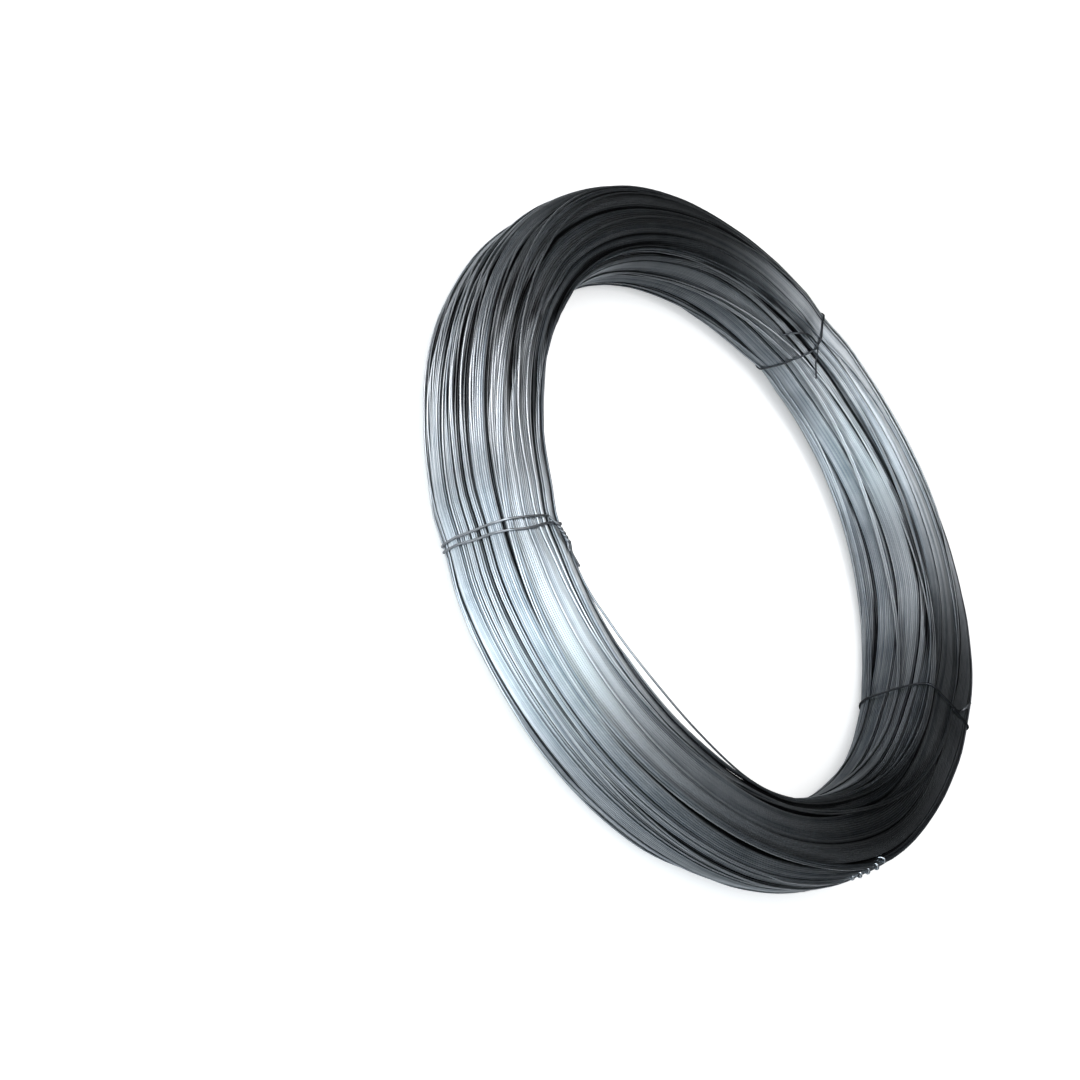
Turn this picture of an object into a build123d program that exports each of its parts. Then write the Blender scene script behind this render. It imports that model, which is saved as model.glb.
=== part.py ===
# Coil of binding wire, lying flat and held together by three wire ties, two of them twisted.
# +Z is the axis of the coil, and the origin is the centre of the level face that it lies on.
import os
from itertools import accumulate, cycle
from math import cos, radians, sin

from build123d import *

# The bundle of turns, in millimetres
bore_radius = 210.0
bundle_width = 65.0
bundle_height = 75.0
corner_radius = 23.0
drum_land = 26.0
resting_land = 18.0
land_edge = 1.5
furrow_depth = 0.6
band_widths = (28.0, 33.0, 24.0, 30.0)

# How the bundle is drawn in under each tie
waist_depth = 2.6
waist_floor = 12.0
waist_slope = 5.0
waist_margin = 1.0

# The ties: their wire, its seat in the waist, and how its two ends leave for the twist
wire_diameter = 1.6
wire_flats = 5
tie_clearance = 0.3
strand_gap = 0.1
twist_pitch = 12.0
root_length = 4.2
bend_radius = 1.6
wrap_pitch = 4.5
wrap_lift = 2.1

# Each tie: its angle round the coil, how often it goes round the bundle, the side of the flat top where it is
# twisted (1 outer, -1 inner), the length of the twist, how far it turns to the bore, and how steeply it rises
root_inset = 3.5
double_tie = dict(angle=254.2, wraps=2, side=-1, length=6.0, heading=22.0, rise=30.0)
curled_tie = dict(angle=115.8, wraps=1, side=-1, length=0.0, heading=15.0, rise=20.0)
single_tie = dict(angle=30.5, wraps=1, side=1, length=5.0, heading=-30.0, rise=35.0)

# The curled tie's loose ends, which aren't twisted
curl_lead = 9.0
curl_turns = (130.0, 190.0, 275.0)
curl_radius = 8.0
curl_chord = 12.0
short_end_lead = 5.0
short_end_step = 6.0
short_end_drift = 4.0
short_end_length = 17.0
short_end_lift = 1.5

# Sizes that follow from those above
wire_radius = wire_diameter / 2
strand_offset = (wire_diameter + strand_gap) / 2
bundle_radius = bore_radius + bundle_width / 2
tie_inset = waist_depth - tie_clearance - wire_radius


def girth(inset):
    """Sides and bends of a line round the section, set in from its crests, from the middle of the base out."""
    flat = bundle_width - 2 * corner_radius
    wall = bundle_height - 2 * corner_radius
    reach = corner_radius - inset
    base = Vector(bundle_radius, inset)
    pieces = [Edge.make_line(base, base + Vector(flat / 2, 0))]
    for length in (wall, flat, wall, flat / 2):
        start, ahead = pieces[-1] @ 1, pieces[-1] % 1
        inward = ahead.rotate(Axis.Z, 90)
        middle = start + reach * sin(radians(45)) * ahead + reach * (1 - cos(radians(45))) * inward
        end = start + reach * (ahead + inward)
        pieces.append(Edge.make_three_point_arc(start, middle, end))
        pieces.append(Edge.make_line(end, end + length * inward))
    return pieces


crest_line, furrow_line = girth(0), girth(furrow_depth)


def meridian_plane(angle):
    """Plane through the axis at an angle round the coil: X outwards, Y up, Z back against the way round."""
    turn = radians(angle)
    return Plane(origin=(0, 0, 0), x_dir=(cos(turn), sin(turn), 0), z_dir=(sin(turn), -cos(turn), 0))


def at(line, distance):
    """Point of a line round the section, at a distance measured along the crests."""
    for piece, crest in zip(line, crest_line):
        if distance <= crest.length:
            break
        distance -= crest.length
    return piece @ min(distance / crest.length, 1)


def band_ends(start, end):
    """Where the bands of turns between two lands begin and end, their widths taken in rotation and fitted."""
    widths = []
    for width in cycle(band_widths):
        if sum(widths) + width / 2 > end - start:
            break
        widths.append(width)
    fit = (end - start) / sum(widths)
    return [start + fit * run for run in accumulate(widths, initial=0)]


# Wire coil: the first layer keeps the wall of the drum, the lowest lies level, and the rest lies in bands
round_length = sum(piece.length for piece in crest_line)
drum_middle = round_length - sum(piece.length for piece in crest_line[-2:]) - crest_line[-3].length / 2
outer_stretch = (resting_land / 2, drum_middle - drum_land / 2)
inner_stretch = (drum_middle + drum_land / 2, round_length - resting_land / 2)

with BuildPart() as wire_coil:
    with BuildSketch(Plane.XZ):
        with BuildLine():
            for start, end in (outer_stretch, inner_stretch):
                ends = band_ends(start + land_edge, end - land_edge)
                Line(at(crest_line, start), at(furrow_line, ends[0]))
                for left, right in zip(ends, ends[1:]):
                    crest = at(crest_line, (left + right) / 2)
                    Polyline(at(furrow_line, left), crest, at(furrow_line, right))
                Line(at(furrow_line, ends[-1]), at(crest_line, end))
            Line(at(crest_line, outer_stretch[1]), at(crest_line, inner_stretch[0]))
            Line(at(crest_line, inner_stretch[1]), at(crest_line, outer_stretch[0]))
        make_face()
    revolve(axis=Axis.Z)
    for tie in (double_tie, curled_tie, single_tie):
        meridian = meridian_plane(tie["angle"])
        path = meridian.from_local_coords(Wire(crest_line))
        with BuildSketch(Plane(origin=path @ 0, x_dir=meridian.z_dir, z_dir=path % 0)) as waist:
            with BuildLine():
                spread = waist_floor / 2 + waist_slope * (1 + waist_margin / waist_depth)
                Polyline(
                    (-spread, waist_margin),
                    (-waist_floor / 2, -waist_depth),
                    (waist_floor / 2, -waist_depth),
                    (spread, waist_margin),
                    close=True,
                )
            make_face()
        sweep(waist.sketch, path=path, mode=Mode.SUBTRACT)

os.makedirs("parts", exist_ok=True)
wire_coil.part.label = "wire_coil"
export_step(wire_coil.part, "parts/wire_coil.step")


# Tie wires: each is one wire that starts in its twist, goes round in its waist and ends in the twist
def tie_frame(tie):
    """Plane on top of the bundle at a tie: X outwards, Y onwards round the coil, Z up."""
    meridian = meridian_plane(tie["angle"])
    top = meridian.from_local_coords(Vector(bundle_radius, bundle_height))
    return Plane(origin=top, x_dir=meridian.x_dir, z_dir=(0, 0, 1))


def twist_axis(tie):
    """Plane where a tie's twist starts, in the tie's frame: Z along the twist, X across its two strands."""
    turn, rise = radians(tie["heading"]), radians(tie["rise"])
    ahead = Vector(-sin(turn) * cos(rise), cos(turn) * cos(rise), sin(rise))
    root = tie["side"] * (bundle_width / 2 - corner_radius - root_inset)
    foot = Vector(root, (tie["wraps"] - 1) * wrap_pitch, -tie_inset)
    return Plane(origin=foot + root_length * ahead, x_dir=ahead.cross(Vector(0, 0, 1)), z_dir=ahead)


def loop_route(tie):
    """Corners and bend radii of a tie's way round the bundle, in the tie's frame, from strand to strand."""
    axis = twist_axis(tie)
    outer_start, inner_end = (axis.origin + side * strand_offset * axis.x_dir for side in (1, -1))
    outer_foot, inner_foot = (point - root_length * axis.z_dir for point in (outer_start, inner_end))
    reach = bundle_width / 2 - tie_inset
    high, low = -tie_inset, tie_inset - bundle_height
    corner = corner_radius - tie_inset
    points, radii = [outer_start, outer_foot], [bend_radius]
    if tie["wraps"] > 1:
        points += [Vector(outer_foot.X, 0, high + wrap_lift), Vector(outer_foot.X, -wrap_pitch, high)]
        radii += [bend_radius] * 2
    for wrap in range(tie["wraps"]):
        outward = (wrap - tie["wraps"] + 1) * wrap_pitch + (outer_foot.Y if tie["wraps"] == 1 else 0)
        inward = outward + (tie["wraps"] - 1) * wrap_pitch
        points += [Vector(reach, outward, high), Vector(reach, outward, low)]
        points += [Vector(-reach, inward, low), Vector(-reach, inward, high)]
        radii += [corner] * 4
    return points + [inner_foot, inner_end], radii + [bend_radius]


def loose_ends(tie):
    """Corners and bend radii of the curl and of the short end that leave a tie's root, in the tie's frame."""
    axis = twist_axis(tie)
    outer_start, inner_end = (axis.origin + side * strand_offset * axis.x_dir for side in (1, -1))
    curl = [outer_start + curl_lead * axis.z_dir]
    for turn in curl_turns:
        heading = radians(turn)
        curl.append(curl[-1] + curl_chord * Vector(cos(heading), sin(heading), 0))
    turned = inner_end + short_end_lead * axis.z_dir
    beside = turned + Vector(-short_end_step, 0, short_end_lift)
    back = beside + Vector(-short_end_drift, -short_end_length, short_end_lift)
    return curl[::-1], [curl_radius] * len(curl_turns), [turned, beside, back], [bend_radius] * 2


ties = {"tie_wire_double": double_tie, "tie_wire_curled": curled_tie, "tie_wire_single": single_tie}
for name, tie in ties.items():
    axis = twist_axis(tie)
    points, radii = loop_route(tie)
    if not tie["length"]:
        curl, curl_radii, short_end, short_radii = loose_ends(tie)
        points = curl + points[1:-1] + short_end
        radii = curl_radii + radii + short_radii
    with BuildPart() as tie_wire:
        with BuildLine() as route:
            FilletPolyline(*points, radius=radii)
        path = route.wires()[0]
        with BuildSketch(Plane(origin=path @ 0, z_dir=path % 0)):
            RegularPolygon(wire_radius, wire_flats)
        sweep(path=path)
        for side in (1, -1) if tie["length"] else ():
            with BuildSketch(axis) as strand:
                with Locations((side * strand_offset, 0)):
                    RegularPolygon(wire_radius, wire_flats)
            face, line = strand.sketch.face(), tie["length"] * axis.z_dir
            turned = 360 * tie["length"] / twist_pitch
            add(Solid.extrude_linear_with_rotation(face, axis.origin, line, turned))
    tie_wire.part.locate(tie_frame(tie).location)
    tie_wire.part.label = name
    export_step(tie_wire.part, f"parts/{name}.step")
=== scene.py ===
"""Coil of binding wire, laid turn by turn, with the three wires that tie it."""
import logging
import math
from dataclasses import dataclass
from enum import Enum

import bmesh
import bpy
import numpy as np
from mathutils import Matrix, Vector


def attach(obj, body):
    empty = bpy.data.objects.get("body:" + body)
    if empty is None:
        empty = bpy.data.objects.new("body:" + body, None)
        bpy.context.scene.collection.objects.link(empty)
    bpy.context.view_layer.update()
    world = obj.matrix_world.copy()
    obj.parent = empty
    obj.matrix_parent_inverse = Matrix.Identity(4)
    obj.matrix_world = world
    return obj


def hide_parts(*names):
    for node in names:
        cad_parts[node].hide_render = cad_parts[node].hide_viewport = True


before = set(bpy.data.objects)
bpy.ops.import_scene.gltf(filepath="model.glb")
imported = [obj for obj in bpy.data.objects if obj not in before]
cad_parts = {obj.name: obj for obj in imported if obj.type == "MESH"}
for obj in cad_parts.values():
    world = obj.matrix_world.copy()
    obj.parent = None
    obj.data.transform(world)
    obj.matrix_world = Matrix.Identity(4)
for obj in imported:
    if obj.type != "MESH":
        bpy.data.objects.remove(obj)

logging.basicConfig(level=logging.INFO, format="%(message)s")
log = logging.getLogger("coil")

MM = 0.001
TAU = 2 * math.pi
CORNERS = 4
FAR_BELOW = -99.0


class Slot(Enum):
    """Names for two material slots, the wire and the tie wire; the script doesn't use them."""

    WIRE = "wire"
    TIE = "tie_wire"


# ---- Finishes ----


# What an input of a node holds: a value, or the output that is joined to it.
Source = float | tuple[float, ...] | Vector | bpy.types.NodeSocket
Inputs = dict[str | int, Source]


class Graph:
    """The nodes of a material or of the world."""

    def __init__(self, owner: bpy.types.Material | bpy.types.World) -> None:
        """Switches on the nodes of their owner."""
        owner.use_nodes = True
        self.nodes, self.links = owner.node_tree.nodes, owner.node_tree.links

    def feed(self, node: bpy.types.Node, inputs: Inputs) -> None:
        """Fills in some inputs of a node.

        Args:
            node: The node.
            inputs: The value of each input, or the output that is joined to it.
        """
        for socket, value in inputs.items():
            if isinstance(value, bpy.types.NodeSocket):
                self.links.new(value, node.inputs[socket])
            else:
                node.inputs[socket].default_value = value

    def add(self, kind: str, inputs: Inputs | None = None, **settings: str | int | bool) -> bpy.types.Node:
        """Adds a node.

        Args:
            kind: Its type, without the word that all shader nodes start with.
            inputs: What its inputs hold, apart from those that stay as they come.
            settings: Its other settings.

        Returns:
            The node.
        """
        node = self.nodes.new(f"ShaderNode{kind}")
        for name, value in settings.items():
            setattr(node, name, value)
        self.feed(node, inputs or {})
        return node

    def ranged(
        self, value: Source, before: tuple[float, float], after: tuple[float, float], **settings: str
    ) -> bpy.types.NodeSocket:
        """Maps a value from the range `before` to the range `after`."""
        ends = {"From Min": before[0], "From Max": before[1], "To Min": after[0], "To Max": after[1]}
        return self.add("MapRange", {"Value": value, **ends}, **settings).outputs["Result"]

    def mixed(self, share: Source, first: Source, second: Source) -> bpy.types.NodeSocket:
        """Mixes two colours, by the share of the second."""
        inputs = {"Factor": share, "A": first, "B": second}
        return self.add("Mix", inputs, data_type="RGBA").outputs["Result"]


@dataclass(frozen=True)
class WireFinish:
    """Drawn steel wire: bright where it was pulled through the die, with dull stretches; darkened by painted
    shade on the turns and by dirt on the ties.
    """

    name: str
    bright: tuple[float, float, float]
    dull: tuple[float, float, float]
    # Dark colour mixed in: painted shade on the turns, dirt on the ties.
    grime_and_painted_shade: tuple[float, float, float] = (0.035, 0.037, 0.04)
    roughness: float = 0.34
    spread: float = 0.06
    patch_scale: float = 38.0
    patch_share: float = 0.9
    tone_range: tuple[float, float] = (0.35, 1.15)
    speck_scale: float = 900.0
    speck_range: tuple[float, float] = (0.3, 0.7)

    def build(self) -> bpy.types.Material:
        """Makes the material.

        Returns:
            The node material.
        """
        material = bpy.data.materials.new(self.name)
        graph = Graph(material)
        place = graph.add("TexCoord").outputs["Object"]
        tint = graph.add("Attribute", attribute_name="tint").outputs["Fac"]
        # How far the colour goes to the dark colour: painted shade on the turns, dirt on the ties.
        grime_and_painted_shade = graph.add("Attribute", attribute_name="grime_and_painted_shade").outputs["Fac"]
        noise = {"Vector": place, "Scale": self.patch_scale, "Detail": 4.0, "Roughness": 0.6}
        patches = graph.add("TexNoise", noise).outputs["Fac"]
        noise = {"Vector": place, "Scale": self.speck_scale, "Detail": 2.0}
        specks = graph.add("TexNoise", noise).outputs["Fac"]
        blend = graph.add("Math", {0: patches, 1: self.patch_share, 2: tint}, operation="MULTIPLY_ADD")
        level = graph.ranged(blend.outputs[0], self.tone_range, (0.0, 1.0))
        colour = graph.mixed(level, (*self.dull, 1.0), (*self.bright, 1.0))
        ends = (self.roughness - self.spread / 2, self.roughness + self.spread / 2)
        inputs = {
            "Base Color": graph.mixed(grime_and_painted_shade, colour, (*self.grime_and_painted_shade, 1.0)),
            "Metallic": 1.0,
            "Roughness": graph.ranged(specks, self.speck_range, ends),
        }
        graph.feed(graph.nodes["Principled BSDF"], inputs)
        return material


# ---- Lines ----


def smooth(share: float | np.ndarray) -> float | np.ndarray:
    """Eases a share in and out between 0 and 1."""
    return share * share * (3 - 2 * share)


def unit(vectors: np.ndarray) -> np.ndarray:
    """Directions of the vectors in the rows of a table."""
    return vectors / np.linalg.norm(vectors, axis=1, keepdims=True)


def travelled(points: np.ndarray) -> np.ndarray:
    """Length of a line up to each of its points."""
    return np.concatenate([[0.0], np.cumsum(np.linalg.norm(np.diff(points, axis=0), axis=1))])


def eased(points: np.ndarray, step: float, passes: int) -> np.ndarray:
    """Evens out a bent line, as a stiff wire does.

    Args:
        points: Points of the line.
        step: Spacing of the new points.
        passes: How often each point moves to the middle of its neighbours.

    Returns:
        The new points, with the same two ends.
    """
    run = travelled(points)
    even = np.linspace(0, run[-1], max(int(run[-1] / step), 3))
    line = np.stack([np.interp(even, run, points[:, axis]) for axis in range(3)], axis=1)
    for _ in range(passes):
        line[1:-1] = 0.5 * line[1:-1] + 0.25 * (line[:-2] + line[2:])
    return line


def carried(along: np.ndarray, first: np.ndarray) -> np.ndarray:
    """Carries a direction across a wire from one point to the next without twisting it.

    Args:
        along: Direction of the wire at each point.
        first: Any direction at the first point but the wire's own.

    Returns:
        The direction across the wire at each point.
    """
    across = np.zeros_like(along)
    across[0] = first - along[0] * (first @ along[0])
    for index in range(1, len(along)):
        side = across[index - 1] - along[index] * (across[index - 1] @ along[index])
        across[index] = side / np.linalg.norm(side)
    return across


def hull(points: np.ndarray) -> np.ndarray:
    """Draws the tightest loop round some points in a plane.

    Args:
        points: The points, one in a row.

    Returns:
        The corners of the loop, anticlockwise.
    """
    order = sorted(map(tuple, points))
    corners: list[tuple[float, float]] = []
    for run in (order, order[::-1]):
        side: list[tuple[float, float]] = []
        for point in run:
            while len(side) > 1:
                (ax, ay), (bx, by) = side[-2], side[-1]
                if (bx - ax) * (point[1] - ay) - (by - ay) * (point[0] - ax) > 0:
                    break
                side.pop()
            side.append(point)
        corners += side[:-1]
    return np.array(corners)


# ---- Shape of the bundle ----


def nearness(angle: np.ndarray, middle: float, reach: float) -> np.ndarray:
    """How near angles in radians are to `middle` in degrees: 1 there, and 0 from `reach` degrees on."""
    away = np.abs(np.mod(angle - math.radians(middle) + math.pi, TAU) - math.pi)
    return 0.5 + 0.5 * np.cos(np.clip(away / math.radians(reach), 0, 1) * math.pi)


@dataclass(frozen=True)
class Section:
    """Rounded section of the bundle, in millimetres.

    A way along its outline is counted from the middle of the base, outwards and up. The bundle is squarer at
    one stretch of the coil and rounder at two others: each row of `changes` has an angle round the coil, its
    reach to either side, both in degrees, and what is added to the corners' radius there.
    """

    bore_radius: float = 210.0
    width: float = 65.0
    height: float = 75.0
    corner: float = 23.0
    changes: tuple[tuple[float, float, float], ...] = (
        (45.0, 46.0, -13.0),
        (112.0, 42.0, 8.5),
        (326.0, 26.0, 8.5),
    )

    @property
    def middle(self) -> float:
        """Radius of the middle of the bundle."""
        return self.bore_radius + self.width / 2

    @property
    def girth(self) -> float:
        """Length of the way round the section where the corners have their usual radius."""
        return 2 * (self.width + self.height - CORNERS * self.corner) + TAU * self.corner

    def walk(self, angle: np.ndarray, way: np.ndarray) -> tuple[np.ndarray, np.ndarray]:
        """Finds places on the outline.

        Args:
            angle: Angles round the coil, in radians.
            way: Ways along the outline; they wrap round, and they set the shape of the result.

        Returns:
            The outline's points and its outward normals, each with a last axis of radius and height.
        """
        corner = np.full(way.shape, self.corner)
        for middle, reach, change in self.changes:
            corner += change * nearness(angle, middle, reach)
        flat, wall = self.width - 2 * corner, self.height - 2 * corner
        bend = corner * math.pi / 2
        run = np.mod(way, self.girth) * (2 * (flat + wall) + CORNERS * bend) / self.girth
        point = np.zeros((*run.shape, 2))
        turn = np.zeros(run.shape)
        start, place = np.zeros(run.shape), np.zeros((*run.shape, 2))
        place[..., 0] = self.middle
        for index, straight in enumerate((flat / 2, wall, flat, wall, flat / 2)):
            heading = index * math.pi / 2
            ahead = np.array([math.cos(heading), math.sin(heading)])
            on_line = (run >= start) & (run <= start + straight)
            point[on_line] = (place + (run - start)[..., None] * ahead)[on_line]
            turn[on_line] = heading
            start, place = start + straight, place + straight[..., None] * ahead
            if index < CORNERS:
                inward = np.array([-ahead[1], ahead[0]])
                bent = (run - start) / corner
                on_bend = (run > start) & (run < start + bend)
                arc = np.sin(bent)[..., None] * ahead + (1 - np.cos(bent))[..., None] * inward
                point[on_bend] = (place + corner[..., None] * arc)[on_bend]
                turn[on_bend] = (heading + bent)[on_bend]
                start, place = start + bend, place + corner[..., None] * (ahead + inward)
        normal = np.stack([np.sin(turn), -np.cos(turn)], axis=-1)
        return point, normal

    def swung(self, flat: np.ndarray, angle: np.ndarray) -> np.ndarray:
        """Swings pairs of radius and height round the coil to their angles, in radians."""
        radius, height = flat[..., 0], flat[..., 1]
        return np.stack([radius * np.cos(angle), radius * np.sin(angle), height], axis=-1)

    def place(self, angle: np.ndarray, way: np.ndarray, height: np.ndarray) -> np.ndarray:
        """Points on the bundle, in metres, for angles in radians, ways along the outline and stand-offs."""
        point, normal = self.walk(angle, way)
        return self.swung(point + height[..., None] * normal, angle) * MM

    def spot(self, angle: float, way: float, height: float) -> np.ndarray:
        """One point on the bundle, in millimetres, for an angle in radians, a way and a stand-off."""
        return self.place(np.array([angle]), np.array([way]), np.array([height]))[0] / MM

    def outward(self, angle: np.ndarray, way: np.ndarray) -> np.ndarray:
        """Outward normals of the bundle, for angles in radians and ways along the outline."""
        return self.swung(self.walk(angle, way)[1], angle)

    def lift(self, line: np.ndarray) -> np.ndarray:
        """Directions outwards from the middle of the bundle, at the points of a line in millimetres."""
        level = unit(line[:, :2]) * self.middle
        return unit(line - np.column_stack([level, np.full(len(line), self.height / 2)]))


# ---- Meshes ----


def linked(name: str, data: bpy.types.ID) -> bpy.types.Object:
    """Makes an object of some data and links it to the scene.

    Args:
        name: Name of the object.
        data: Its mesh, camera or lamp.

    Returns:
        The object.
    """
    made = bpy.data.objects.new(name, data)
    bpy.context.scene.collection.objects.link(made)
    return made


def rings(count: int) -> np.ndarray:
    """Which point of a line each ring of a tube stands at; the first two and last two close its ends."""
    return np.concatenate([[0, 0], np.arange(count), [count - 1] * 2])


def tube(
    centres: np.ndarray, outward: np.ndarray, radius: float, sides: int
) -> tuple[np.ndarray, np.ndarray]:
    """Sweeps a round wire along a line and closes its two ends.

    Args:
        centres: Points of the line.
        outward: A direction across the line at each point, from which the sides are counted.
        radius: Radius of the wire.
        sides: Sides of its section.

    Returns:
        The vertices, ring by ring, and the four corners of each face.
    """
    along = unit(np.gradient(centres, axis=0))
    across = unit(np.cross(along, outward))
    up = np.cross(across, along)
    turn = np.arange(sides) * TAU / sides
    ring = across[:, None] * np.sin(turn)[:, None] + up[:, None] * np.cos(turn)[:, None]
    order = rings(len(centres))
    centres, ring = centres[order], ring[order]
    radii = np.full((len(centres), 1, 1), radius)
    radii[0] = radii[-1] = 0.0
    vertices = (centres[:, None] + radii * ring).reshape(-1, 3)
    first = np.arange(len(centres) - 1)[:, None] * sides
    side = np.arange(sides)[None]
    after = (side + 1) % sides
    faces = np.stack([first + side, first + after, first + sides + after, first + sides + side], axis=-1)
    return vertices, faces.reshape(-1, 4)


def make_piece(
    name: str,
    vertices: np.ndarray,
    faces: np.ndarray,
    finish: bpy.types.Material,
    tint: np.ndarray | float = 0.5,
    grime_and_painted_shade: np.ndarray | float = 0.0,
) -> bpy.types.Object:
    """Makes a smooth mesh object and links it to the scene.

    Args:
        name: Name of the piece.
        vertices: Points in metres.
        faces: The four corners of each face.
        finish: Its material.
        tint: Brightness from 0 to 1, at each vertex or all over.
        grime_and_painted_shade: Darkening from 0 to 1, at each vertex or all over: painted shade on the
            turns, dirt on the ties.

    Returns:
        The object.
    """
    mesh = bpy.data.meshes.new(name)
    mesh.vertices.add(len(vertices))
    mesh.vertices.foreach_set("co", np.ascontiguousarray(vertices, dtype=np.float32).ravel())
    mesh.loops.add(faces.size)
    mesh.loops.foreach_set("vertex_index", faces.astype(np.int32).ravel())
    mesh.polygons.add(len(faces))
    mesh.polygons.foreach_set("loop_start", np.arange(0, faces.size, 4, dtype=np.int32))
    mesh.update(calc_edges=True)
    mesh.validate()
    mesh.shade_smooth()
    for label, values in (("tint", tint), ("grime_and_painted_shade", grime_and_painted_shade)):
        layer = mesh.attributes.new(label, "FLOAT", "POINT")
        layer.data.foreach_set("value", np.full(len(vertices), values, dtype=np.float32))
    welded = bmesh.new()
    welded.from_mesh(mesh)
    bmesh.ops.remove_doubles(welded, verts=welded.verts, dist=1e-7)
    welded.to_mesh(mesh)
    welded.free()
    mesh.materials.append(finish)
    return linked(name, mesh)


# ---- The wound wire ----


@dataclass(frozen=True)
class Leg:
    """A stretch of the wire wound at one place; `way` is its place at each station, in millimetres.

    `blend` is the number of stations over which it comes across from the leg before it.
    """

    way: np.ndarray
    turns: float
    blend: int
    tone: float


@dataclass
class WoundWire:
    """The whole coil of wire, laid turn on turn on a hidden core.

    Sizes are in millimetres, angles in degrees, and tones and painted shade from 0 to 1. A station is one of
    the even steps round the coil at which the wire's place is worked out.
    """

    section: Section
    ties: tuple[float, ...]
    wire: float = 1.6
    sides: int = 5
    stations: int = 168
    cell: float = 0.2
    pitch: float = 1.63
    core_inset: float = 5.6
    core_depth: float = 2.6
    core_grid: tuple[int, int] = (160, 120)

    fill_blend: int = 4
    # The filling under the clumps gets a darker tone: painted shade for the turns seen at the bottom of the
    # gaps.
    fill_shade_tone: float = 0.3
    narrow_clump: tuple[int, int] = (2, 4)
    wide_clump: tuple[int, int] = (6, 13)
    wide_share: float = 0.5
    spare_turns: int = 4
    gap: float = 0.7
    gap_swing: float = 1.1
    clump_blend: int = 14
    upper_blend: int = 20
    clump_tone: float = 0.55
    clump_tone_spread: float = 0.2
    shared_sway: float = 5.0
    top_strands: int = 9
    top_turns: tuple[float, float] = (1.6, 3.6)
    top_sway: float = 7.0
    top_blend: int = 60
    top_tone: tuple[float, float] = (0.4, 0.95)

    slack_way: float = 146.0
    slack_sway: float = 1.0
    slack_turns: float = 2.2
    slack_tone: float = 0.35
    slack_span: tuple[float, float] = (262.0, 322.0)
    slack_peak: float = 289.0
    slack_height: float = 5.6

    sag: float = 0.08
    sag_passes: int = 80
    sag_ahead: int = 16
    crest: float = 0.1
    crest_percent: float = 95.0
    highest: float = 1.4
    pinches: tuple[float, ...] = (2.7, 2.4, 0.9)
    pinch_reach: float = 30.0
    pinch_sinks: float = 0.8
    pinch_levels: float = 1.3
    under_cells: int = 5

    turn_tone: float = 0.17
    streak: float = 0.13
    streak_widths: tuple[int, ...] = (5, 5, 9)
    shelter_cells: int = 20
    # Painted shade in the gaps: a turn starts to darken at this depth in millimetres below the crests around
    # it, and is fully dark over the next.
    shelter_step: int = 2
    gap_shade_from: float = 0.9
    gap_shade_fade: float = 2.6
    # Painted shade patches: angle round the coil and reach, both in degrees, and depth.
    painted_shades: tuple[tuple[float, float, float], ...] = (
        (352.0, 42.0, 0.62),
        (160.0, 48.0, 0.4),
        (32.0, 36.0, 0.4),
    )
    painted_shade_edge: float = 96.0
    painted_shade_fade: float = 24.0

    per_piece: int = 112
    seed: int = 11

    def __post_init__(self) -> None:
        """Sets up what the laying shares."""
        self.rng = np.random.default_rng(self.seed)
        self.angle = np.arange(self.stations) * TAU / self.stations
        self.surface = np.zeros((self.stations, 1))

    def waves(self, size: float, first: int, last: int, fall: float = 0.5) -> np.ndarray:
        """Draws a smooth random curve round the coil.

        Args:
            size: Size of its slowest wave.
            first: Fewest waves round the coil.
            last: Most waves round the coil.
            fall: How fast the quicker waves die away.

        Returns:
            Its value at each station.
        """
        curve = np.zeros(self.stations)
        for count in range(first, last + 1):
            part = size * self.rng.normal() / (count / first) ** fall
            curve += part * np.cos(count * self.angle + self.rng.uniform(0, TAU))
        return curve

    def legs(self) -> list[Leg]:
        """Plans the legs: the filling, the clumps in two layers, the strands across them and the slack end.

        Returns:
            The legs, in the order in which they're wound.
        """
        girth = self.section.girth
        shared = self.waves(self.shared_sway, first=1, last=3, fall=1.0)
        legs = [Leg(shared.copy(), girth / self.pitch + 1, self.fill_blend, self.fill_shade_tone)]
        sizes: list[int] = []
        while sum(sizes) * self.pitch + len(sizes) * self.gap < girth - self.spare_turns * self.pitch:
            low, high = self.wide_clump if self.rng.random() < self.wide_share else self.narrow_clump
            sizes.append(int(self.rng.integers(low, high + 1)))
        swings = [self.waves(self.gap_swing, first=1, last=5, fall=0.3) for _ in sizes]
        gaps = [np.maximum(self.gap + swing, 0.0) for swing in swings]
        total = sum(sizes) * self.pitch + sum(gaps)
        place = np.zeros(self.stations)
        for turns, gap in zip(sizes, gaps):
            fitted = shared + place * girth / total
            tone = float(np.clip(self.rng.normal(self.clump_tone, self.clump_tone_spread), 0, 1))
            legs.append(Leg(fitted, turns, self.clump_blend, tone))
            if turns > 1:
                legs.append(Leg(fitted + self.pitch / 2, turns - 1, self.upper_blend, tone))
            place = place + turns * self.pitch + gap
        for index in range(self.top_strands):
            middle = self.slack_way - (self.top_strands - index) * girth / self.top_strands
            way = middle + shared + self.waves(self.top_sway, first=1, last=4, fall=1.0)
            turns = self.rng.uniform(*self.top_turns)
            legs.append(Leg(way, turns, self.top_blend, float(self.rng.uniform(*self.top_tone))))
        way = self.slack_way + self.waves(self.slack_sway, first=2, last=4)
        legs.append(Leg(way, self.slack_turns, self.top_blend, self.slack_tone))
        return legs

    def slack(self, angle: np.ndarray) -> np.ndarray:
        """Works out how far the last turn stands off where it is slack.

        Args:
            angle: Angles round the coil, in radians.

        Returns:
            The stand-off at each.
        """
        start, end = (math.radians(limit) for limit in self.slack_span)
        peak = math.radians(self.slack_peak)
        rising = np.clip((angle - start) / (peak - start), 0, 1)
        falling = np.clip((end - angle) / (end - peak), 0, 1)
        return self.slack_height * smooth(np.minimum(rising, falling))

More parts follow.
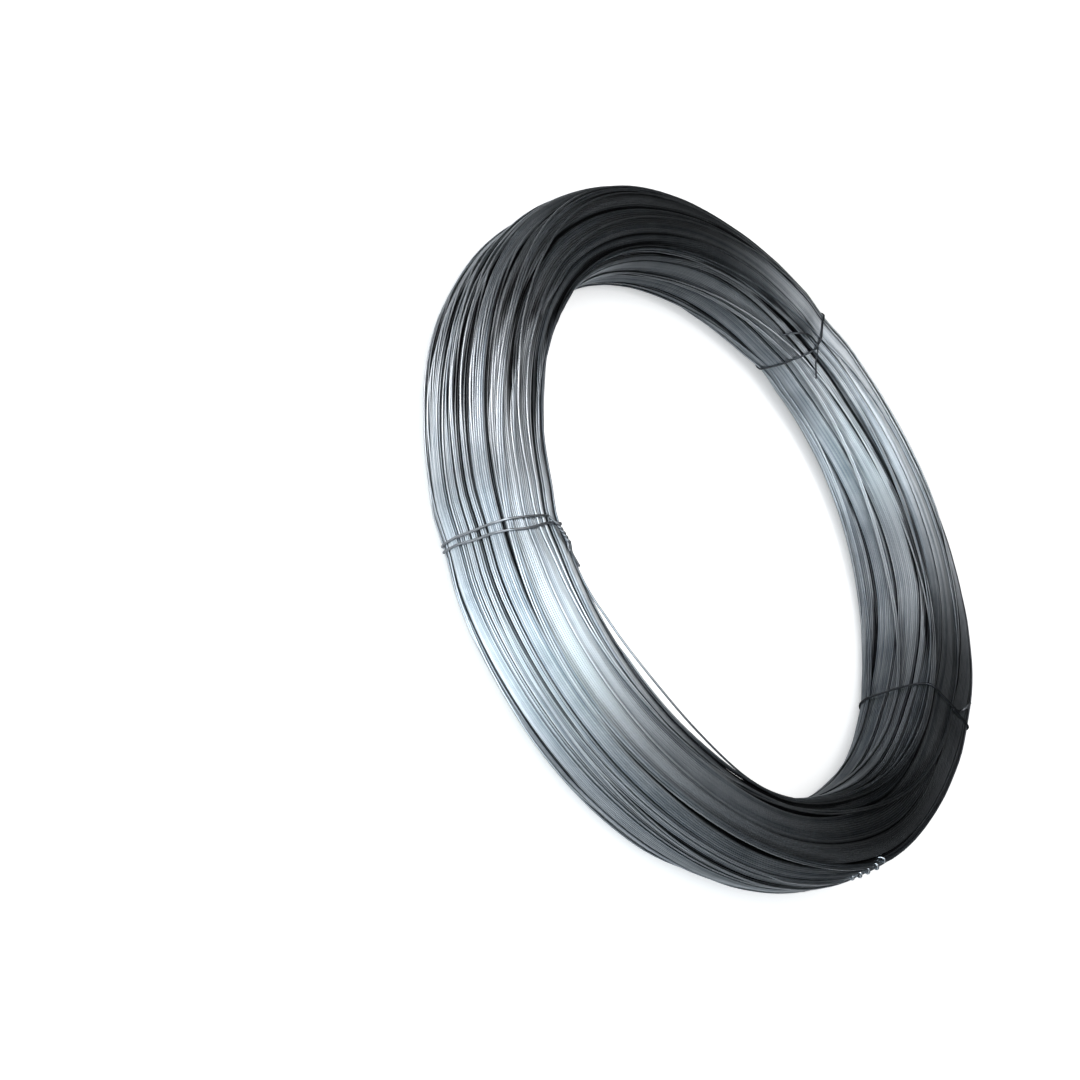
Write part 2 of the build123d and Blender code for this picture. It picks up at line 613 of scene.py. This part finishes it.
    def thread(self, legs: list[Leg]) -> tuple[np.ndarray, np.ndarray]:
        """Runs the wire through its legs.

        Args:
            legs: The legs, in order.

        Returns:
            The wire's ways along the outline and its tones, both with a row for each turn and a column for
            each station.
        """
        ways: list[float] = []
        tones: list[float] = []
        before, began = legs[0], 0
        for leg in legs:
            start = len(ways)
            for step in range(int(round(leg.turns * self.stations))):
                index = start + step
                spot = index % self.stations
                way = leg.way[spot] + self.pitch * (index - start) / self.stations
                if step < leg.blend:
                    old = before.way[spot] + self.pitch * (index - began) / self.stations
                    old += self.section.girth * round((way - old) / self.section.girth)
                    way = old + (way - old) * smooth(step / leg.blend)
                ways.append(way)
                tones.append(leg.tone)
            before, began = leg, start
        whole = len(ways) // self.stations * self.stations
        shape = (-1, self.stations)
        return np.array(ways[:whole]).reshape(shape), np.array(tones[:whole]).reshape(shape)

    def settle(self, rows: np.ndarray) -> np.ndarray:
        """Lays the turns one after another, each resting on those before it.

        Args:
            rows: Ways along the outline, turn by turn.

        Returns:
            Heights of the wire's centre over the outline, turn by turn.
        """
        radius = self.wire / 2
        cells = int(round(self.section.girth / self.cell))
        size = self.section.girth / cells
        reach = int(radius / size)
        offsets = np.arange(-reach - 1, reach + 2)
        surface = np.full((self.stations, cells), -self.core_inset)
        flat = rows.ravel()
        station = np.arange(self.stations)[:, None]
        result = np.zeros_like(rows)
        last = None
        for turn in range(len(rows)):
            first = turn * self.stations
            run = np.arange(first, min(first + self.stations + self.sag_ahead, flat.size))
            spot = flat[run] / size
            near = np.floor(spot).astype(int)[:, None] + offsets[None]
            delta = (near + 0.5 - spot[:, None]) * size
            cap = np.sqrt(np.maximum(radius**2 - delta**2, 0))
            under = surface[(run % self.stations)[:, None], np.mod(near, cells)]
            need = np.where(np.abs(delta) < radius, under + cap, FAR_BELOW).max(axis=1)
            height = need.copy()
            start = need[0] if last is None else last
            for _ in range(self.sag_passes):
                left = np.concatenate([[start], height[:-1]])
                right = np.concatenate([height[1:], height[-1:]])
                height = np.maximum(need, 0.5 * (left + right) - self.sag)
            height, near, delta, cap = (part[: self.stations] for part in (height, near, delta, cap))
            result[turn] = height
            last = height[-1]
            top = np.where(np.abs(delta) < radius, height[:, None] + cap, FAR_BELOW)
            np.maximum.at(surface, (station, np.mod(near, cells)), top)
        lift = self.crest - np.percentile(surface, self.crest_percent)
        log.info("laid %d turns, lifted %.2f mm, highest %.2f mm", len(rows), lift, surface.max() + lift)
        self.surface = surface + lift
        return result + lift

    def pinched(self, angle: np.ndarray) -> np.ndarray:
        """Works out how far the ties draw the bundle in.

        Args:
            angle: Angles round the coil, in radians.

        Returns:
            The depth at each.
        """
        depth = np.zeros_like(angle)
        reach = math.degrees(self.pinch_reach / self.section.middle)
        for tie, pinch in zip(self.ties, self.pinches):
            depth = np.maximum(depth, pinch * nearness(angle, tie, reach))
        return depth

    def draw_in(self, angle: np.ndarray, height: np.ndarray) -> np.ndarray:
        """Draws the wire in at the ties and keeps it below the highest that it may stand.

        Args:
            angle: Angles round the coil, in radians.
            height: Heights of the wire's centre over the outline.

        Returns:
            The heights afterwards.
        """
        depth = self.pinched(angle)
        ceiling = self.highest - self.wire / 2 - self.pinch_levels * depth
        return np.minimum(height - self.pinch_sinks * depth, ceiling)

    def over(self, angle: float, way: float) -> float:
        """Finds the height of the turns under a wire that lies across them.

        Args:
            angle: Its angle round the coil, in radians.
            way: Its way along the outline.

        Returns:
            The height over the outline.
        """
        cells = self.surface.shape[1]
        station = int(round(angle / TAU * self.stations))
        near = np.arange(-self.under_cells, self.under_cells + 1) + int(way / (self.section.girth / cells))
        rows = np.mod([station - 1, station, station + 1], self.stations)
        return float(self.surface[np.ix_(rows, np.mod(near, cells))].max())

    def taut(self, angle: float, clearance: float) -> np.ndarray:
        """Runs a tight line round the bundle.

        Args:
            angle: Its angle round the coil, in radians.
            clearance: How far it keeps from the turns.

        Returns:
            Radii and heights of its points, in millimetres, anticlockwise.
        """
        station = int(round(angle / TAU * self.stations)) % self.stations
        heights = self.surface[station]
        way = (np.arange(heights.size) + 0.5) * self.section.girth / heights.size
        point, normal = self.section.walk(np.full(way.shape, angle), way)
        return hull(point + (heights + clearance)[:, None] * normal)

    def shelter(self) -> np.ndarray:
        """Finds the height of the crests around each place, from which the depth of a gap is measured.

        Returns:
            The height at each cell of the surface.
        """
        crest = self.surface.copy()
        for shift in range(-self.shelter_cells, self.shelter_cells + 1, self.shelter_step):
            crest = np.maximum(crest, np.roll(self.surface, shift, axis=1))
        return crest

    def streaks(self, shape: tuple[int, int]) -> np.ndarray:
        """Draws brighter and duller stretches along the wire.

        Args:
            shape: The numbers of turns and of stations.

        Returns:
            What is added to the tone at each station of each turn.
        """
        run = self.rng.normal(size=shape[0] * shape[1])
        for width in self.streak_widths:
            run = np.convolve(run, np.ones(width) / width, mode="same")
        return (run / run.std() * self.streak).reshape(shape)

    def painted_shade(self, angle: np.ndarray, way: np.ndarray) -> np.ndarray:
        """Works out the painted shade that darkens the wire from the outer top corner over the top and the
        inner side, at a few stretches round the coil.

        Args:
            angle: Angles round the coil, in radians.
            way: Ways along the outline.

        Returns:
            The painted shade at each.
        """
        dark = np.zeros_like(angle)
        for middle, reach, depth in self.painted_shades:
            dark = np.maximum(dark, depth * nearness(angle, middle, reach))
        past = np.mod(way, self.section.girth) - self.painted_shade_edge
        return dark * np.clip((past + self.painted_shade_fade / 2) / self.painted_shade_fade, 0, 1)

    def build(self, steel: bpy.types.Material, dark: bpy.types.Material) -> list[bpy.types.Object]:
        """Makes the turns and the core beneath them.

        Args:
            steel: Finish of the turns.
            dark: Finish of the core.

        Returns:
            The pieces.
        """
        rows, tones = self.thread(self.legs())
        heights = self.settle(rows)
        crest = self.shelter()
        cells = crest.shape[1]
        under = np.mod(np.floor(rows / (self.section.girth / cells)).astype(int), cells)
        deep = crest[np.arange(self.stations), under] - heights
        turn_tones = self.rng.normal(0, self.turn_tone, (len(rows), 1))
        tones = np.clip(tones + turn_tones + self.streaks(rows.shape), 0, 1)
        heights = self.draw_in(self.angle[None], heights)
        heights[-1] += self.slack(self.angle)
        radius = self.wire / 2
        self.surface = self.draw_in(self.angle[:, None], self.surface - radius) + radius
        around = np.broadcast_to(self.angle, rows.shape)
        runs = [table.ravel() for table in (around, rows, heights, deep, tones)]
        rise = radius * np.cos(np.arange(self.sides) * TAU / self.sides)
        pieces = []
        for number, first in enumerate(range(0, len(rows), self.per_piece)):
            span = slice(first * self.stations, (first + self.per_piece) * self.stations + 1)
            angle, way, height, depth, tone = (run[span] for run in runs)
            centres = self.section.place(angle, way, height)
            centres[:, 2] = np.maximum(centres[:, 2], radius * MM)
            vertices, faces = tube(centres, self.section.outward(angle, way), radius * MM, self.sides)
            # Painted shade: a turn darkens by its depth below the crests around it, and more where the
            # painted shade patches lie.
            bare = 1 - np.clip((depth[:, None] - rise - self.gap_shade_from) / self.gap_shade_fade, 0, 1)
            grime_and_painted_shade = 1 - bare * (1 - self.painted_shade(angle, way)[:, None])
            order = rings(len(centres))
            tint = np.repeat(tone[order], self.sides)
            name = f"wire_turns_{number + 1}"
            pieces.append(make_piece(name, vertices, faces, steel, tint, grime_and_painted_shade[order].ravel()))
        return [*pieces, self.core(dark)]

    def core(self, dark: bpy.types.Material) -> bpy.types.Object:
        """Makes the dark inside that closes the gaps between the turns: a near-black sheet of painted shade
        standing for the unlit turns deep down.

        Args:
            dark: Its finish.

        Returns:
            The piece.
        """
        around, across = self.core_grid
        row, column = np.meshgrid(np.arange(around), np.arange(across), indexing="ij")
        height = np.full(row.shape, -self.core_inset - self.core_depth)
        vertices = self.section.place(row * TAU / around, column * self.section.girth / across, height)
        here, there = row * across, (row + 1) % around * across
        after = (column + 1) % across
        faces = np.stack([here + column, there + column, there + after, here + after], axis=-1)
        return make_piece("wire_core", vertices.reshape(-1, 3), faces.reshape(-1, 4), dark)


# ---- The ties and the outer end ----


@dataclass(frozen=True)
class Step:
    """A place that a loose end passes, in millimetres.

    `along` is how far it is from its tie along the coil, `way` its way round the bundle, and `off` its
    stand-off from the turns.
    """

    along: float
    way: float
    off: float = 0.0


@dataclass
class Tie:
    """A wire that goes tightly round the bundle and ends in a twist or in two loose ends.

    Sizes are in millimetres, the angle in degrees, and tones and grime from 0 to 1.
    """

    name: str
    wound: WoundWire
    angle: float
    root: float
    loops: tuple[tuple[float, ...], ...]
    outer_end: tuple[Step, ...]
    inner_end: tuple[Step, ...]
    twist: tuple[Step, ...] = ()
    tone: float = 0.12
    clean_tone: float = 0.95
    soiled: float = 0.3
    bare: float = 0.0
    clean_fade: float = 4.0
    twist_pitch: float = 6.2
    twist_room: float = 1.03
    wire: float = 1.6
    sides: int = 8
    loop_points: int = 150
    trim: int = 3
    steepest: float = 0.8

    @property
    def bearing(self) -> float:
        """Angle of the tie round the coil, in radians."""
        return math.radians(self.angle)

    def outline(self, way: float) -> np.ndarray:
        """Radius and height of the bundle's outline at the tie, for a way along it."""
        return self.wound.section.walk(np.array([self.bearing]), np.array([way]))[0][0]

    def spot(self, step: Step) -> np.ndarray:
        """Lays the wire on the turns at one step of its way.

        Args:
            step: The step.

        Returns:
            Its centre in millimetres.
        """
        angle = self.bearing + step.along / self.outline(step.way)[0]
        height = self.wound.over(angle, step.way) + self.wire / 2 + step.off
        return self.wound.section.spot(angle, step.way, height)

    def loop(self, offsets: tuple[float, ...]) -> np.ndarray:
        """Goes once round the bundle, outwards first.

        Args:
            offsets: Where it is along the coil at even steps of its way round.

        Returns:
            Its points in millimetres.
        """
        ring = self.wound.taut(self.bearing, self.wire / 2)
        first = int(np.argmin(np.linalg.norm(ring - self.outline(self.root), axis=1)))
        ring = np.roll(ring, -first, axis=0)[::-1]
        ring = np.vstack([ring[-1:], ring])
        run = travelled(ring)
        even = np.linspace(0, run[-1], self.loop_points)
        radius, height = (np.interp(even, run, ring[:, axis]) for axis in (0, 1))
        height = np.maximum(height, self.wire / 2)
        share = np.linspace(0, len(offsets) - 1, even.size)
        whole = np.minimum(share.astype(int), len(offsets) - 2)
        before, after = np.array(offsets)[whole], np.array(offsets)[whole + 1]
        angle = self.bearing + (before + (after - before) * smooth(share - whole)) / radius
        return np.stack([radius * np.cos(angle), radius * np.sin(angle), height], axis=1)

    def strands(self) -> tuple[np.ndarray, np.ndarray]:
        """Turns the two strands of the twist about each other.

        Returns:
            The points of each in millimetres, from the root of the twist outwards.
        """
        line = eased(np.array([self.spot(step) for step in self.twist]), step=0.4, passes=6)
        along = unit(np.gradient(line, axis=0))
        across = unit(np.cross(along, self.wound.section.lift(line)))
        up = np.cross(across, along)
        turn = TAU * travelled(line) / self.twist_pitch
        arm = self.wire / 2 * self.twist_room
        swing = arm * (np.cos(turn)[:, None] * across + np.sin(turn)[:, None] * up)
        return line + swing, line - swing

    def route(self) -> np.ndarray:
        """Runs the whole wire from its outer loose end to its inner one.

        Returns:
            Its points in millimetres.
        """
        parts = [self.loop(offsets) for offsets in self.loops]
        if len(parts) > 1:
            parts[0] = parts[0][self.trim :]
        parts[-1] = parts[-1][: -self.trim]
        outer = [self.spot(step) for step in self.outer_end]
        inner = [self.spot(step) for step in self.inner_end]
        if self.twist:
            one, other = self.strands()
            start = parts[0][0]
            if np.linalg.norm(one[0] - start) > np.linalg.norm(other[0] - start):
                one, other = other, one
            outer, inner = [*one, *outer], [*other, *inner]
        return eased(np.vstack([np.array(outer)[::-1], *parts, np.array(inner)]), step=0.7, passes=3)

    def worn(self, line: np.ndarray) -> np.ndarray:
        """How dull the wire is at the points of its line, from 0 to 1: both ends are clean for a length."""
        run = travelled(line)
        return np.clip((np.minimum(run, run[-1] - run) - self.bare) / self.clean_fade + 1, 0, 1)

    def build(self, steel: bpy.types.Material) -> bpy.types.Object:
        """Makes the tie.

        Args:
            steel: Its finish.

        Returns:
            The piece.
        """
        line = self.route()
        along = unit(np.gradient(line, axis=0))
        level = unit(np.array([[-line[0, 1], line[0, 0], 0.0]]))[0]
        first = level if abs(level @ along[0]) < self.steepest else self.wound.section.lift(line[:1])[0]
        vertices, faces = tube(line * MM, carried(along, first), self.wire / 2 * MM, self.sides)
        worn = np.repeat(self.worn(line)[rings(len(line))], self.sides)
        tint = self.clean_tone - (self.clean_tone - self.tone) * worn
        return make_piece(self.name, vertices, faces, steel, tint, self.soiled * worn)


@dataclass
class OuterEnd:
    """The outer end of the wire, which runs along the rim and is wound round its outermost turns.

    Sizes are in millimetres, and `lead`, `span` and `dive_span` in degrees round the coil.
    """

    wound: WoundWire
    lead: tuple[float, float] = (321.0, 340.6)
    span: tuple[float, float] = (340.8, 349.4)
    ways: tuple[float, float] = (77.0, 96.0)
    first_coil: float = 0.15
    coils: float = 5.6
    reach: float = 3.4
    sink: float = 1.6
    dive: float = 3.0
    dive_span: float = 5.0
    uneven: float = 0.1
    tone: float = 0.95
    wire: float = 1.6
    sides: int = 8
    lead_points: int = 24
    coil_points: int = 150
    seed: int = 5

    def leading(self) -> list[np.ndarray]:
        """Runs the wire along the rim, from where it comes out from under the turns.

        Returns:
            Its points in millimetres.
        """
        points = []
        for degrees in np.linspace(*self.lead, self.lead_points):
            angle = math.radians(degrees)
            buried = self.dive * max(1 - (degrees - self.lead[0]) / self.dive_span, 0.0)
            height = self.wound.over(angle, self.ways[0]) + self.wire / 2 - buried
            points.append(self.wound.section.spot(angle, self.ways[0], height))
        return points

    def coiled(self) -> list[np.ndarray]:
        """Winds the wire round the outermost turns, in coils that differ a little.

        Returns:
            Its points in millimetres.
        """
        rng = np.random.default_rng(self.seed)
        knots = np.arange(int(self.coils) + 2)
        steps = np.concatenate([[0.0], np.cumsum(1 + self.uneven * rng.normal(size=len(knots) - 1))])
        sizes = self.reach * (1 + self.uneven * rng.normal(size=len(knots)))
        points = []
        for coil in np.linspace(self.first_coil, self.coils, self.coil_points):
            share = float(np.interp(coil, knots, steps)) / steps[-1]
            reach = float(np.interp(coil, knots, sizes))
            angle = math.radians(self.span[0] + share * (self.span[1] - self.span[0]))
            middle = self.ways[0] + share * (self.ways[1] - self.ways[0])
            turn = TAU * coil + math.pi / 2
            height = self.wound.over(angle, middle) - self.sink + reach * math.sin(turn)
            points.append(self.wound.section.spot(angle, middle + reach * math.cos(turn), height))
        return points

    def build(self, steel: bpy.types.Material) -> bpy.types.Object:
        """Makes the wound end.

        Args:
            steel: Its finish.

        Returns:
            The piece.
        """
        line = eased(np.array([*self.leading(), *self.coiled()]), step=0.5, passes=3)
        first = self.wound.section.lift(line[:1])[0]
        outward = carried(unit(np.gradient(line, axis=0)), first)
        vertices, faces = tube(line * MM, outward, self.wire / 2 * MM, self.sides)
        return make_piece("wire_outer_end", vertices, faces, steel, self.tone)


# ---- Stage ----


@dataclass(frozen=True)
class Lamp:
    """A soft lamp, which the camera doesn't see: place, target and size in metres, power in watts.

    `spread` is how wide its light goes, in degrees.
    """

    name: str
    place: tuple[float, float, float]
    target: tuple[float, float, float]
    size: tuple[float, float]
    power: float
    spread: float
    colour: tuple[float, float, float] = (1.0, 1.0, 1.0)

    def build(self) -> None:
        """Hangs the lamp in its place and turns it to its target."""
        data = bpy.data.lights.new(self.name, "AREA")
        data.shape = "RECTANGLE"
        data.size, data.size_y = self.size
        data.energy = self.power
        data.color = self.colour
        data.spread = math.radians(self.spread)
        lamp = linked(self.name, data)
        lamp.location = self.place
        lamp.visible_camera = False
        lamp.rotation_mode = "QUATERNION"
        lamp.rotation_quaternion = (Vector(self.target) - Vector(self.place)).to_track_quat("-Z", "Y")


@dataclass
class Studio:
    """Pale floor, soft lamps, dim sky and the camera.

    Sizes are in metres and angles in degrees. The camera's `distance`, `aside` and `above` are in radii of
    the ring, and its lens and sensor in millimetres.
    """

    ring_radius: float = 0.2425
    ring_height: float = 0.0375
    elevation: float = 39.96
    roll: float = 63.25
    distance: float = 4.986
    aside: float = 0.5727
    above: float = 0.0437
    lens: float = 53.4
    sensor: float = 36.0

    floor_half: float = 6.0
    floor_drop: float = 0.0003
    floor_colour: tuple[float, float, float] = (0.7, 0.7, 0.7)
    floor_mirrored: float = 0.05
    shadow_samples: int = 16
    shadow_reach: float = 0.22
    shadow_least: float = 0.3

    lamps: tuple[Lamp, ...] = (
        Lamp("overhead", (-0.12, -0.12, 0.56), (-0.115, -0.145, 0.0), (0.80, 0.64), 0.9, 108),
        Lamp("front", (-0.02, -0.78, 0.36), (0.0, -0.25, 0.03), (0.8, 0.38), 1.36, 75, (0.84, 0.94, 1.0)),
        Lamp("left", (-0.64, -0.42, 0.19), (-0.16, -0.2, 0.04), (0.36, 0.24), 0.21, 52),
        Lamp("far", (0.05, 0.145, 0.415), (-0.04, 0.24, 0.07), (0.07, 0.16), 0.034, 60),
    )

    sky_colour: tuple[float, float, float] = (0.90, 0.95, 1.0)
    sky_towards: tuple[float, float, float] = (-0.05, -0.75, 0.65)
    sky_from: float = 0.1
    sky_strength: tuple[float, float] = (0.006, 0.42)
    sky_mirrored: float = 0.012

    def camera(self) -> None:
        """Makes the camera, which looks down at the coil from the front and is rolled to one side."""
        tilt, roll = math.radians(self.elevation), math.radians(self.roll)
        back = Vector((0, -math.cos(tilt), math.sin(tilt)))
        level = Vector((0, 0, 1)).cross(back).normalized()
        upright = back.cross(level)
        right = math.cos(roll) * level + math.sin(roll) * upright
        up = -math.sin(roll) * level + math.cos(roll) * upright
        data = bpy.data.cameras.new("camera")
        data.lens = self.lens
        data.sensor_width = self.sensor
        camera = linked("camera", data)
        place = self.ring_radius * (self.distance * back - self.aside * right - self.above * up)
        place += Vector((0, 0, self.ring_height))
        turn = Matrix((right, up, back)).transposed()
        camera.matrix_world = Matrix.Translation(place) @ turn.to_4x4()
        bpy.context.scene.camera = camera

    def shown(self, graph: Graph, mirrored: float) -> bpy.types.NodeSocket:
        """Tells how much of the white background a ray sees.

        Args:
            graph: The nodes to add to.
            mirrored: Share of it that shows in metal and through glass.

        Returns:
            The share, which is 1 for what the camera sees.
        """
        path = graph.add("LightPath").outputs
        either = graph.add("Math", {0: path["Is Glossy Ray"], 1: path["Is Transmission Ray"]}).outputs[0]
        inputs = {0: either, 1: mirrored, 2: path["Is Camera Ray"]}
        return graph.add("Math", inputs, operation="MULTIPLY_ADD", use_clamp=True).outputs[0]

    def floor_finish(self) -> bpy.types.Material:
        """Makes the floor's finish: matt and pale, and white to the camera but for the coil's shadow.

        Returns:
            The node material.
        """
        material = bpy.data.materials.new("pale_floor")
        graph = Graph(material)
        shown = self.shown(graph, self.floor_mirrored)
        shade = graph.add("AmbientOcclusion", {"Distance": self.shadow_reach}, samples=self.shadow_samples)
        fade = graph.ranged(shade.outputs["AO"], (0.0, 1.0), (self.shadow_least, 1.0))
        inputs = {
            "Base Color": (*self.floor_colour, 1),
            "Roughness": 0.9,
            "Specular IOR Level": 0.0,
            "Emission Color": (1, 1, 1, 1),
            "Emission Strength": graph.add("Math", {0: shown, 1: fade}, operation="MULTIPLY").outputs[0],
        }
        graph.feed(graph.nodes["Principled BSDF"], inputs)
        return material

    def floor(self) -> None:
        """Makes the pale floor."""
        half = self.floor_half
        corners = [(-half, -half, 0), (half, -half, 0), (half, half, 0), (-half, half, 0)]
        mesh = bpy.data.meshes.new("floor")
        mesh.from_pydata(corners, [], [(0, 1, 2, 3)])
        floor = linked("floor", mesh)
        floor.location.z = -self.floor_drop
        mesh.materials.append(self.floor_finish())

    def sky(self) -> None:
        """Makes the world: a dim soft sky on the camera's side, and white wherever the camera sees it."""
        world = bpy.data.worlds.new("studio")
        bpy.context.scene.world = world
        graph = Graph(world)
        place = graph.add("TexCoord").outputs["Generated"]
        towards = Vector(self.sky_towards).normalized()
        facing = graph.add("VectorMath", {0: place, 1: towards}, operation="DOT_PRODUCT").outputs["Value"]
        span = (self.sky_from, 1.0)
        level = graph.ranged(facing, span, self.sky_strength, interpolation_type="SMOOTHSTEP")
        dim = graph.nodes["Background"]
        graph.feed(dim, {"Color": (*self.sky_colour, 1), "Strength": level})
        white = graph.add("Background", {"Color": (1, 1, 1, 1)})
        shown = self.shown(graph, self.sky_mirrored)
        either = graph.add("MixShader", {"Fac": shown, 1: dim.outputs[0], 2: white.outputs[0]})
        graph.feed(graph.nodes["World Output"], {"Surface": either.outputs[0]})

    def build(self) -> None:
        """Makes the whole stage."""
        bpy.context.scene.view_settings.view_transform = "Standard"
        self.camera()
        self.floor()
        for lamp in self.lamps:
            lamp.build()
        self.sky()


# ---- The coil ----


def tied(wound: WoundWire) -> dict[str, Tie]:
    """Plans the three ties.

    Args:
        wound: The coil that they go round.

    Returns:
        The ties by the names of the nodes that they replace.
    """
    double = Tie(
        name="double_tie",
        wound=wound,
        angle=wound.ties[0],
        root=134.0,
        loops=(
            (-0.9, -0.9, -2.4, -4.6, -5.2, -4.6, -2.0, 1.5, 3.6),
            (3.6, 6.6, 3.6, 0.0, -2.0, -1.5, 0.0, 2.0, 4.2),
        ),
        outer_end=(Step(24, 142), Step(33, 147.5)),
        inner_end=(Step(21, 138, 0.4), Step(24, 136, 1.4)),
        twist=(Step(4.5, 134, 1.2), Step(11, 136, 1.4), Step(18, 138.5, 1.6)),
        tone=0.3,
        soiled=0.0,
    )
    curled = Tie(
        name="curled_tie",
        wound=wound,
        angle=wound.ties[1],
        root=146.0,
        loops=((-3.6, 3.5, 3.5, 2.5, 2.5, 3.5, 5.0, 1.5, -3.8),),
        outer_end=(
            Step(-3.8, 145.5, 1.2),
            Step(-1, 143.2, 2.0),
            Step(6, 143.4, 2.2),
            Step(12.5, 145.4, 2.2),
            Step(18.5, 149.6, 2.3),
            Step(23, 154.8, 2.3),
            Step(26, 161, 2.2),
        ),
        inner_end=(
            Step(-4.2, 144.6, 0.4),
            Step(-6.2, 148.5, 1.2),
            Step(-12.5, 154.8, 1.0),
            Step(-24, 163, 0.9),
        ),
        soiled=0.6,
    )
    single = Tie(
        name="single_tie",
        wound=wound,
        angle=wound.ties[2],
        root=112.0,
        loops=((-7.2, -3.0, -0.5, -2.0, -5.6),),
        outer_end=(Step(6, 104, 2.8), Step(10.5, 101.5, 3.6)),
        inner_end=(Step(5, 103, 2.2), Step(8, 101.8, 2.6)),
        twist=(Step(-5.5, 111, 1.6), Step(2.5, 106.0, 2.0)),
        soiled=0.85,
        bare=17.0,
    )
    return {"tie_wire_double": double, "tie_wire_curled": curled, "tie_wire_single": single}


def report(piece: bpy.types.Object) -> None:
    """Logs a piece and its number of faces."""
    log.info("%s: %d faces", piece.name, len(piece.data.polygons))


def main() -> None:
    """Builds the coil, its ties and the stage."""
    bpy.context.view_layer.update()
    steel = WireFinish("drawn_steel", (0.62, 0.65, 0.68), (0.28, 0.32, 0.36)).build()
    binding = WireFinish("binding_steel", (0.52, 0.54, 0.57), (0.08, 0.088, 0.097), roughness=0.42).build()
    # The core's near-black finish is painted shade for the deep turns.
    dark = WireFinish("shaded_steel", (0.05, 0.05, 0.055), (0.03, 0.03, 0.032), roughness=0.6).build()
    wound = WoundWire(Section(), ties=(254.2, 115.8, 30.5))
    for piece in [*wound.build(steel, dark), OuterEnd(wound).build(steel)]:
        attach(piece, "root")
        if piece.name == "wire_turns_1":
            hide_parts("wire_coil")
        report(piece)
    for node, tie in tied(wound).items():
        piece = tie.build(binding)
        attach(piece, "root")
        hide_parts(node)
        report(piece)
    Studio().build()


if __name__ == "__main__":
    main()
